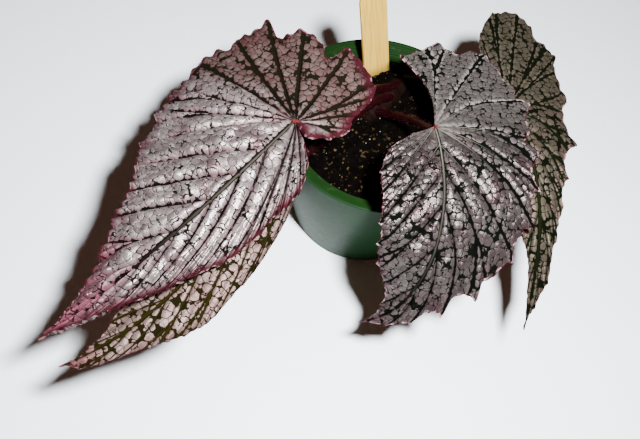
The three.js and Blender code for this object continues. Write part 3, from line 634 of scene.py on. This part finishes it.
    # each blister is a low dome, and its skin is pebbled
    relief = r.plus(r.times(silver, 0.35), r.ramp(blister["Distance"], 0, 0.7, 0.4, 0))
    relief = r.plus(relief, r.ramp(toVein, 0, 1.2, 0, 0.5))
    relief = r.plus(relief, r.times(sparkle["Distance"], 0.16))
    normal = r.bump(relief, look["relief"] * mm)
    rough = r.ramp(silver, 0, 1, 0.95, look["rough"])
    rough = r.plus(rough, r.times(sparkle["Distance"], 0.1))
    sheen = r.times(silver, r.ramp(rim, 0, 1, look["gloss"], 0.1))
    sheen = r.times(sheen, r.ramp(along, -25, 12, look["lobeGloss"], 1.0))
    sheen = r.times(sheen, r.ramp(toVein, 0.3, 3.0, 0.15, 1.0))
    look = {"Base_Color": body, "Roughness": rough, "Metallic": sheen, "Normal": normal}
    return r.finish(**look, Specular_IOR_Level=0.02)


def undersideMaterial(name):
    r = Recipe(name)
    flat, vein, span = r.uv("flat"), r.split(r.uv("vein")), r.split(r.uv("span"))
    toRib = r.times(r.math("PINGPONG", vein[0], 0.5), span[0])
    line = r.ramp(toRib, 0.5, 1.2, 1, 0)
    patches = r.ramp(r.noise(flat, 0.12, 4)["Fac"], 0.35, 0.65)
    body = r.mix(patches, colour(60, 16, 24), colour(50, 36, 22))
    body = r.mix(line, body, colour(104, 26, 30))
    border = r.voronoi(flat, 1 / 3.2, "DISTANCE_TO_EDGE")["Distance"]
    normal = r.bump(r.ramp(border, 0, 0.3), 0.3 * mm, 0.7)
    return r.finish(Base_Color=body, Roughness=0.55, Normal=normal, Specular_IOR_Level=0.15)


underside = undersideMaterial("leaf underside")
for name, look in leafLooks.items():
    skins = [leafMaterial(name + " upper side", look), underside]
    bladePiece(name, skins)
print("leaf blades made")


# ---------- stalks and rhizome

stalks = {
    "baseRadius": 2.4, "topRadius": 1.9, "slimBy": 0.66, "footFlare": 0.5, "topFlare": 0.3,
    "ripple": 0.07, "sides": 20, "steps": 70, "underBlade": (2.4, 0.2),
}
stalkPaths = {
    "stalk_a": ("leaf_a", [
        (6, 36, 74.5), (3.5, 31.5, 77), (-0.7, 25.5, 80), (-7.3, 18.5, 85), (-27, -12, 102),
    ]),
    "stalk_b": ("leaf_b", [
        (1.5, 23, 75), (0.5, 19, 80), (-5.2, 10.5, 86), (-13.5, -3.5, 90), (-27, -26, 90.5),
    ]),
    "stalk_c": ("leaf_c", [(-7, 12, 75), (0.5, 8, 79.5), (8, 2, 87), (15, -6, 96)]),
    "stalk_d": ("leaf_d", [(8, 41, 74), (17, 37, 81), (33, 29, 88), (50, 20, 93)]),
}
rhizome = {
    "path": [(9, 42, 71), (5, 34, 73), (0.5, 24, 73.5), (-5, 14, 74), (-9.5, 5, 73)],
    "radii": (3.5, 5.6, 6, 5.8, 4), "sides": 36, "steps": 90,
}


def evenPath(points, steps):
    # a smooth curve through the points, as steps + 1 places an even way apart
    points = [np.array(p, float) for p in points]
    knots = [2 * points[0] - points[1], *points, 2 * points[-1] - points[-2]]
    dense = [points[0]]
    for p0, p1, p2, p3 in zip(knots, knots[1:], knots[2:], knots[3:]):
        pairs = ((p0, p1), (p1, p2), (p2, p3))
        d0, d1, d2 = (math.sqrt(np.linalg.norm(b - a)) for a, b in pairs)
        leave = ((p1 - p0) / d0 - (p2 - p0) / (d0 + d1) + (p2 - p1) / d1) * d1
        arrive = ((p2 - p1) / d1 - (p3 - p1) / (d1 + d2) + (p3 - p2) / d2) * d1
        for t in np.linspace(0, 1, 25)[1:]:
            cubic = (2 * p1 - 2 * p2 + leave + arrive) * t ** 3
            dense.append(cubic + (3 * p2 - 3 * p1 - 2 * leave - arrive) * t ** 2 + leave * t + p1)
    dense = np.array(dense)
    travelled = np.concatenate([[0], np.cumsum(np.linalg.norm(np.diff(dense, axis=0), axis=1))])
    even = np.linspace(0, travelled[-1], steps + 1)
    places = [np.interp(even, travelled, dense[:, axis]) for axis in range(3)]
    return np.stack(places, -1), travelled[-1]


def pathFrames(path):
    tangents = np.gradient(path, axis=0)
    tangents /= np.linalg.norm(tangents, axis=1)[:, None]
    across = np.cross(tangents[0], (0.3, 0.2, 0.9))
    frames = []
    for tangent in tangents:
        across = across - tangent * np.dot(across, tangent)
        across /= np.linalg.norm(across)
        frames.append((across, np.cross(tangent, across)))
    return tangents, np.array(frames)


def tubeMesh(path, radiusAt, sides):
    # radiusAt takes the share along and the angle round, and the uv map holds mm round and along
    steps = len(path) - 1
    length = np.linalg.norm(np.diff(path, axis=0), axis=1).sum()
    tangents, frames = pathFrames(path)

    def place(u, v, mark):
        station = np.rint(v * steps).astype(int)
        turn = 2 * np.pi * u
        radius = radiusAt(v, turn)
        across, other = np.cos(turn)[:, None], np.sin(turn)[:, None]
        out = frames[station, 0] * across + frames[station, 1] * other
        points = path[station] + out * radius[:, None]
        return points, {"wrap": np.stack([turn, v * length], -1)}

    bm = gridMesh([(sides, steps, 1)], place)
    bmesh.ops.holes_fill(bm, edges=bm.edges, sides=0)
    bmesh.ops.recalc_face_normals(bm, faces=bm.faces)
    return bm


def stalkMaterial():
    r = Recipe("red stalk skin")
    wrap = r.uv("wrap")
    streaks = r.noise(r.vector("MULTIPLY", wrap, (2.2, 0.12, 1)), 1.6, 4)["Fac"]
    body = r.mix(r.ramp(streaks, 0.35, 0.7), colour(9, 0, 1), colour(21, 0, 2))
    flecks = r.voronoi(r.vector("MULTIPLY", wrap, (2.4, 0.45, 1)), 1.0)["Distance"]
    body = r.mix(r.ramp(flecks, 0.12, 0.2), colour(34, 8, 7), body)
    normal = r.bump(streaks, 0.15 * mm, 0.6)
    return r.finish(Base_Color=body, Roughness=0.45, Normal=normal, Specular_IOR_Level=0.1)


def rhizomeMaterial():
    r = Recipe("scaly rhizome skin")
    wrap = r.uv("wrap")
    place = r.objectPlace()
    rings = r.noise(r.vector("MULTIPLY", wrap, (0.3, 1.1, 1)), 1.0, 4)["Fac"]
    body = r.mix(r.ramp(rings, 0.35, 0.65), colour(5, 2, 1), colour(14, 7, 4))
    body = r.mix(r.ramp(r.noise(place, 900, 3)["Fac"], 0.5, 0.7), body, colour(16, 2, 3))
    normal = r.bump(rings, 0.6 * mm, 0.8)
    return r.finish(Base_Color=body, Roughness=0.7, Normal=normal, Specular_IOR_Level=0.02)


def hairMaterial():
    r = Recipe("pale hairs")
    tint = r.noise(r.objectPlace(), 300, 2)["Fac"]
    body = r.mix(tint, colour(40, 5, 8), colour(66, 26, 24))
    return r.finish(Base_Color=body, Roughness=0.5, Specular_IOR_Level=0.1)


def addHair(bm, root, way, length, radius):
    turn = Vector((0, 0, 1)).rotation_difference(Vector(way)).to_matrix().to_4x4()
    middle = Vector(root) + Vector(way) * (length / 2 - 0.1)
    bmesh.ops.create_cone(
        bm, cap_ends=True, segments=3, radius1=radius * mm, radius2=0.2 * radius * mm,
        depth=length * mm, matrix=Matrix.Translation(middle * mm) @ turn,
    )


def stalkRadius(share, turn):
    base, top = stalks["baseRadius"], stalks["topRadius"]
    plain = np.interp(share, (0, stalks["slimBy"], 1), (base, top, top))
    foot = stalks["footFlare"] * np.maximum(0, 1 - share / 0.06)
    head = stalks["topFlare"] * np.maximum(0, (share - 0.95) / 0.05)
    return plain + foot + head + stalks["ripple"] * np.sin(3 * turn + 9 * share)


redSkin, hairSkin = stalkMaterial(), hairMaterial()
hairCoat = {
    "perMm": 5, "length": (0.7, 2.0), "radius": 0.045, "lean": 0.5, "between": (0.06, 0.985),
    "sunk": 0.97, "seed": 11,
}
draw = random.Random(hairCoat["seed"])
for name, (leafName, points) in stalkPaths.items():
    zero = np.zeros(1)
    under = [bend(blades[leafName], zero, zero, zero - depth)[0] for depth in stalks["underBlade"]]
    path, length = evenPath([*points, under[0]], stalks["steps"])
    path = np.vstack([path, under[1]])
    steps = len(path) - 1
    bm = tubeMesh(path, stalkRadius, stalks["sides"])
    pieceFrom(bm, name + "_skin", [redSkin], [name])
    tangents, frames = pathFrames(path)
    hairs = bmesh.new()
    for hair in range(int(length * hairCoat["perMm"])):
        share = draw.uniform(*hairCoat["between"])
        turn = draw.uniform(0, 2 * math.pi)
        station = min(int(share * steps), steps - 1)
        centre = path[station] + (path[station + 1] - path[station]) * (share * steps - station)
        out = frames[station, 0] * math.cos(turn) + frames[station, 1] * math.sin(turn)
        root = centre + out * float(stalkRadius(share, turn)) * hairCoat["sunk"]
        way = out + tangents[station] * draw.uniform(-hairCoat["lean"], hairCoat["lean"])
        way /= np.linalg.norm(way)
        addHair(hairs, root, way, draw.uniform(*hairCoat["length"]), hairCoat["radius"])
    pieceFrom(hairs, name + "_hairs", [hairSkin])


def rhizomeRadius(share, turn):
    plain = np.interp(share, np.linspace(0, 1, 5), rhizome["radii"])
    knots = 0.35 * np.sin(34 * share + 0.8 * np.sin(turn)) + 0.25 * np.sin(3 * turn + 14 * share)
    return plain + knots - 0.2


path, length = evenPath(rhizome["path"], rhizome["steps"])
bm = tubeMesh(path, rhizomeRadius, rhizome["sides"])
pieceFrom(bm, "rhizome_skin_piece", [rhizomeMaterial()], ["rhizome"])
print("stalks and rhizome made")


# ---------- pot

pot = {
    "height": 84, "rimRadius": 57, "baseRadius": 41, "wall": 2, "floor": 3.6, "sides": 180,
    "ledges": 3, "ledgeDrop": 1.5, "ledgeWidth": 2.1, "lipTopWidth": 2.5, "lipDepth": 3,
    "lipFlare": 4, "edge": 0.8, "floorBevel": 3, "drainHoles": 6, "drainRadius": 4.5,
    "drainRing": 32.5, "grooveInner": 28.5, "grooveOuter": 36.5, "grooveDepth": 1.2,
    "drainCut": 14, "corner": 0.25, "cornerAngle": 25, "smoothAngle": 40,
}


def potWall(z):
    return pot["baseRadius"] + (pot["rimRadius"] - pot["baseRadius"]) * z / pot["height"]


def potProfile():
    edge, top, rim, floor = pot["edge"], pot["height"], pot["rimRadius"], pot["floor"]
    lowLedge = top - pot["ledges"] * pot["ledgeDrop"]
    innerLedge = rim - pot["lipTopWidth"] - pot["ledges"] * pot["ledgeWidth"]
    lipUnder = lowLedge - pot["lipDepth"]
    wallTop = lipUnder - pot["lipFlare"]
    inside = [potWall(z) - pot["wall"] for z in (wallTop, floor + pot["floorBevel"], floor)]
    profile = [
        (0, 0), (pot["grooveInner"] - edge, 0), (pot["grooveInner"], pot["grooveDepth"]),
        (pot["grooveOuter"], pot["grooveDepth"]), (pot["grooveOuter"] + edge, 0),
        (pot["baseRadius"] - 2 * edge, 0), (pot["baseRadius"] - 0.5 * edge, 0.6 * edge),
        (potWall(2 * edge), 2 * edge), (potWall(top - edge), top - edge),
        (rim - 0.4 * edge, top - 0.2 * edge), (rim - edge, top),
    ]
    for ledge in range(pot["ledges"]):
        radius = rim - pot["lipTopWidth"] - ledge * pot["ledgeWidth"]
        z = top - ledge * pot["ledgeDrop"]
        profile += [(radius, z), (radius - 0.4 * edge, z - pot["ledgeDrop"])]
    profile += [
        (innerLedge, lowLedge), (innerLedge, lipUnder), (inside[0], wallTop),
        (inside[1], floor + pot["floorBevel"]), (inside[2] - pot["floorBevel"], floor), (0, floor),
    ]
    return profile


def potPiece(material):
    bm = bmesh.new()
    corners = [bm.verts.new((radius * mm, 0, z * mm)) for radius, z in potProfile()]
    edges = [bm.edges.new(pair) for pair in zip(corners, corners[1:])]
    bmesh.ops.spin(
        bm, geom=corners + edges, cent=(0, 0, 0), axis=(0, 0, 1), angle=2 * math.pi,
        steps=pot["sides"], use_merge=True,
    )
    bmesh.ops.remove_doubles(bm, verts=bm.verts, dist=0.001 * mm)
    bmesh.ops.recalc_face_normals(bm, faces=bm.faces)
    cornerAngle = math.radians(pot["cornerAngle"])
    corners = [e for e in bm.edges if e.calc_face_angle(0) > cornerAngle]
    bevelEdges(bm, corners, pot["corner"] * mm, 2)
    piece = pieceFrom(bm, "pot_turned", [material], ["pot"])
    cutters = bmesh.new()
    radius = pot["drainRadius"] * mm
    for hole in range(pot["drainHoles"]):
        angle = (hole + 0.5) / pot["drainHoles"] * 2 * math.pi
        middle = Vector((math.cos(angle), math.sin(angle), 0)) * pot["drainRing"] * mm
        bmesh.ops.create_cone(
            cutters, cap_ends=True, segments=36, radius1=radius, radius2=radius,
            depth=pot["drainCut"] * mm, matrix=Matrix.Translation(middle),
        )
    cutter = newObject("drain_cutters", cutters)
    holes = piece.modifiers.new("drain holes", "BOOLEAN")
    holes.object = cutter
    holes.solver = "EXACT"
    bpy.context.view_layer.update()
    made = piece.evaluated_get(bpy.context.evaluated_depsgraph_get())
    cut = bpy.data.meshes.new_from_object(made)
    piece.modifiers.clear()
    piece.data = cut
    bpy.data.objects.remove(cutter)
    cut.set_sharp_from_angle(angle=math.radians(pot["smoothAngle"]))


def potMaterial():
    r = Recipe("green moulded plastic")
    place = r.objectPlace()
    cloud = r.noise(place, 30, 4)["Fac"]
    inside = r.mix(r.ramp(cloud, 0.3, 0.7), colour(8, 25, 6), colour(12, 33, 8))
    outside = r.mix(r.ramp(cloud, 0.3, 0.7), colour(13, 34, 16), colour(17, 40, 21))
    x, y, z = r.split(place)
    fromAxis = r.math("SQRT", r.plus(r.times(x, x), r.times(y, y)))
    slope = (pot["rimRadius"] - pot["baseRadius"]) / pot["height"]
    outer = r.plus(r.times(z, slope), (pot["baseRadius"] - 0.7) * mm)
    body = r.mix(r.ramp(r.minus(fromAxis, outer), 0, 0.3 * mm), inside, outside)
    dust = r.ramp(r.noise(place, 220, 5)["Fac"], 0.55, 0.8)
    body = r.mix(r.times(dust, 0.2), body, colour(60, 68, 52))
    scuffs = r.noise(r.vector("MULTIPLY", place, (400, 400, 900)), 1.0, 3)["Fac"]
    rough = r.plus(r.ramp(scuffs, 0.3, 0.7, 0.44, 0.5), r.times(dust, 0.1))
    normal = r.bump(r.noise(place, 900, 3)["Fac"], 0.05 * mm, 0.5)
    return r.finish(Base_Color=body, Roughness=rough, Normal=normal, Specular_IOR_Level=0.03)


potPiece(potMaterial())
print("pot made")


# ---------- soil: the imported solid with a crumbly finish, and loose crumbs on it

def soilMaterial(name, dark, light, fleck):
    r = Recipe(name)
    place = r.objectPlace()
    clods = r.noise(place, 260, 6, 0.7)["Fac"]
    body = r.mix(r.ramp(clods, 0.35, 0.7), colour(*dark), colour(*light))
    grit = r.voronoi(place, 900)
    body = r.mix(r.ramp(r.split(grit["Color"])[0], 0.93, 0.99), body, colour(*fleck))
    height = r.plus(clods, r.times(r.noise(place, 1200, 3)["Fac"], 0.4))
    normal = r.bump(height, 1.2 * mm, 1.0)
    return r.finish(Base_Color=body, Roughness=0.9, Normal=normal, Specular_IOR_Level=0.02)


crumbs = {
    "soil_crumbs": {"count": 2300, "size": (0.5, 2.6), "flat": 0.7, "sink": 0.3, "seed": 5},
    "soil_bark": {"count": 170, "size": (0.6, 1.9), "flat": 0.35, "sink": 0.25, "seed": 6},
    "soil_perlite": {"count": 80, "size": (0.4, 1.0), "flat": 0.8, "sink": 0.3, "seed": 7},
}
soilBed = {"radius": 47.6, "lowest": 70, "above": 140, "standOff": 1.2, "tilt": 0.5, "rough": 0.28}
crumbSkins = {
    "soil_crumbs": ("dark crumbs", (1, 0, 0), (5, 3, 2), (60, 44, 24)),
    "soil_bark": ("bark chips", (5, 3, 2), (30, 22, 13), (110, 94, 66)),
    "soil_perlite": ("perlite grains", (96, 88, 74), (130, 122, 108), (150, 144, 132)),
}
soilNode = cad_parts["soil"]
soilNode.data.materials.clear()
damp = soilMaterial("damp potting mix", (1, 0, 0), (3, 2, 1), (40, 30, 18))
soilNode.data.materials.append(damp)


def surfaceOf(thing):
    return BVHTree.FromObject(thing, bpy.context.evaluated_depsgraph_get())


soilTop = surfaceOf(soilNode)
standing = ["rhizome_skin_piece", *(name + "_skin" for name in stalkPaths)]
standing = [surfaceOf(bpy.data.objects[name]) for name in standing]
for name, kind in crumbs.items():
    draw = random.Random(kind["seed"])
    noise.seed_set(kind["seed"])  # without it noise_vector starts from the clock
    bm = bmesh.new()
    for crumb in range(kind["count"]):
        radius = soilBed["radius"] * math.sqrt(draw.random())
        angle = draw.uniform(0, 2 * math.pi)
        size = draw.uniform(*kind["size"]) * draw.uniform(0.6, 1)
        above = Vector((radius * math.cos(angle), radius * math.sin(angle), soilBed["above"]))
        hit = soilTop.ray_cast(above * mm, Vector((0, 0, -1)))[0]
        if hit is None or hit.z < soilBed["lowest"] * mm or radius + size > soilBed["radius"]:
            continue
        if any(tree.find_nearest(hit, soilBed["standOff"] * size * mm)[0] for tree in standing):
            continue
        stretch = Vector((1, draw.uniform(0.5, 1), kind["flat"] * draw.uniform(0.7, 1)))
        spin = Matrix.Rotation(draw.uniform(0, 6.28), 4, "Z")
        spin = spin @ Matrix.Rotation(draw.uniform(-soilBed["tilt"], soilBed["tilt"]), 4, "X")
        lift = Vector((0, 0, (0.5 - kind["sink"]) * size * kind["flat"] * mm))
        scale = Matrix.Diagonal((*(stretch * size * 0.6 * mm), 1))
        matrix = Matrix.Translation(hit + lift) @ spin @ scale
        new = bmesh.ops.create_icosphere(bm, subdivisions=1, radius=1, matrix=matrix)["verts"]
        rough = soilBed["rough"] * size * mm * kind["flat"]
        for vertex in new:
            vertex.co += noise.noise_vector(vertex.co * 900) * rough
    skin = soilMaterial(*crumbSkins[name])
    pieceFrom(bm, name, [skin], smooth=name == "soil_crumbs")
print("soil dressed")


# ---------- label

label = {
    "width": 16, "length": 102, "thickness": 1.8, "atSoil": (-8, 39, 72), "buried": 46,
    "direction": (-14, 11, 53), "turn": 39, "edge": 0.3, "endSteps": 14, "edgeSteps": 3,
}


def labelMaterial():
    r = Recipe("bare basswood")
    grainPlace = r.uv("grain")
    slow = r.noise(r.vector("MULTIPLY", grainPlace, (0.9, 0.03, 1)), 1.0, 3)["Fac"]
    lines = r.noise(r.vector("MULTIPLY", grainPlace, (5.5, 0.09, 1)), 1.0, 5, 0.7)["Fac"]
    body = r.mix(r.ramp(slow, 0.3, 0.7), colour(148, 112, 34), colour(172, 138, 50))
    body = r.mix(r.ramp(lines, 0.45, 0.75, 0, 0.6), body, colour(120, 84, 24))
    pores = r.voronoi(r.vector("MULTIPLY", grainPlace, (1.1, 0.35, 1)), 1.0)
    body = r.mix(r.ramp(pores["Distance"], 0.05, 0.1), colour(62, 38, 16), body)
    body = r.mix(r.ramp(r.split(grainPlace)[1], 0, 9, 0.75, 0), body, colour(40, 26, 12))
    normal = r.bump(lines, 0.12 * mm, 0.8)
    return r.finish(Base_Color=body, Roughness=0.62, Normal=normal, Specular_IOR_Level=0.2)


def labelPiece(material):
    bm = bmesh.new()
    size = Matrix.Diagonal((label["width"], label["length"], label["thickness"], 1))
    bmesh.ops.create_cube(bm, size=1, matrix=size)
    corners = [e for e in bm.edges if abs(e.verts[0].co.z - e.verts[1].co.z) > 0.5]
    bevelEdges(bm, corners, label["width"] / 2 - 0.01, label["endSteps"])
    rim = [e for e in bm.edges if e.calc_face_angle(0) > math.radians(60)]
    bevelEdges(bm, rim, label["edge"], label["edgeSteps"])
    middle = label["length"] / 2 - label["buried"]
    bmesh.ops.translate(bm, verts=bm.verts, vec=(0, middle, 0))
    grain = bm.loops.layers.uv.new("grain")
    for face in bm.faces:
        for loop in face.loops:
            loop[grain].uv = loop.vert.co.xy
    along = Vector(label["direction"]).normalized()
    turn = math.radians(label["turn"])
    across = Vector((math.cos(turn), math.sin(turn), 0))
    across = (across - along * across.dot(along)).normalized()
    facing = across.cross(along)
    turned = Matrix((across, along, facing)).transposed().to_4x4()
    matrix = Matrix.Scale(mm, 4) @ Matrix.Translation(label["atSoil"]) @ turned
    bmesh.ops.transform(bm, matrix=matrix, verts=bm.verts)
    pieceFrom(bm, "label_stake", [material], ["wooden_label"], smooth=False)


labelPiece(labelMaterial())
print("label made")


# ---------- camera, light and floor

view = {
    "place": (-20.46, -253.05, 400.33), "right": (0.97283677, 0.19986282, 0.11680525),
    "up": (-0.23149215, 0.83991576, 0.49086953), "focalPixels": 760, "pixelsWide": 640,
    "sensor": 36, "nearest": 10, "farthest": 20000,
}
lighting = {
    "flashRight": 92, "flashUp": 60, "flashBack": 12, "flashSize": 45, "flashPower": 14.0,
    "flashColour": (0.95, 1.0, 1.02), "aim": (-10, -30, 60), "skyStrength": 0.055,
    "skyColour": colour(255, 196, 164), "backdropStrength": 0.9,
    "backdropColour": colour(236, 240, 244), "floorRadius": 800,
    "floorTones": (colour(228, 231, 234), colour(236, 238, 240)),
}

cameraData = bpy.data.cameras.new("camera")
cameraData.sensor_width = view["sensor"]
cameraData.lens = view["focalPixels"] / view["pixelsWide"] * view["sensor"]
cameraData.clip_start, cameraData.clip_end = view["nearest"] * mm, view["farthest"] * mm
camera = newObject("camera", cameraData)
right, up = Vector(view["right"]).normalized(), Vector(view["up"]).normalized()
backward = right.cross(up)
turned = Matrix((right, up, backward)).transposed().to_4x4()
camera.matrix_world = Matrix.Translation(Vector(view["place"]) * mm) @ turned
bpy.context.scene.camera = camera

flashData = bpy.data.lights.new("key softbox", "AREA")
flashData.shape = "DISK"
flashData.size = lighting["flashSize"] * mm
flashData.energy = lighting["flashPower"]
flashData.color = lighting["flashColour"]
flash = newObject("key softbox", flashData)
flashPlace = Vector(view["place"]) + right * lighting["flashRight"] + up * lighting["flashUp"]
flashPlace += backward * lighting["flashBack"]
turned = (Vector(lighting["aim"]) - flashPlace).to_track_quat("-Z", "Y").to_matrix().to_4x4()
flash.matrix_world = Matrix.Translation(flashPlace * mm) @ turned

world = bpy.data.worlds.new("soft room light")
world.use_nodes = True
nodes, links = world.node_tree.nodes, world.node_tree.links
sky, backdrop = nodes["Background"], nodes.new("ShaderNodeBackground")
seen = nodes.new("ShaderNodeMixShader")
links.new(nodes.new("ShaderNodeLightPath").outputs["Is Camera Ray"], seen.inputs[0])
for slot, shade, name in ((1, sky, "sky"), (2, backdrop, "backdrop")):
    shade.inputs["Color"].default_value = lighting[name + "Colour"]
    shade.inputs["Strength"].default_value = lighting[name + "Strength"]
    links.new(shade.outputs[0], seen.inputs[slot])
links.new(seen.outputs[0], nodes["World Output"].inputs["Surface"])
bpy.context.scene.world = world

bm = bmesh.new()
floorRadius = lighting["floorRadius"] * mm
bmesh.ops.create_circle(bm, cap_ends=True, segments=160, radius=floorRadius)
floor = newObject("floor", bm)
table = Recipe("pale table top")
cloud = table.noise(table.objectPlace(), 3, 3)["Fac"]
tableTone = table.mix(cloud, *lighting["floorTones"])
floor.data.materials.append(table.finish(Base_Color=tableTone, Roughness=0.6))
print("camera, light and floor set")
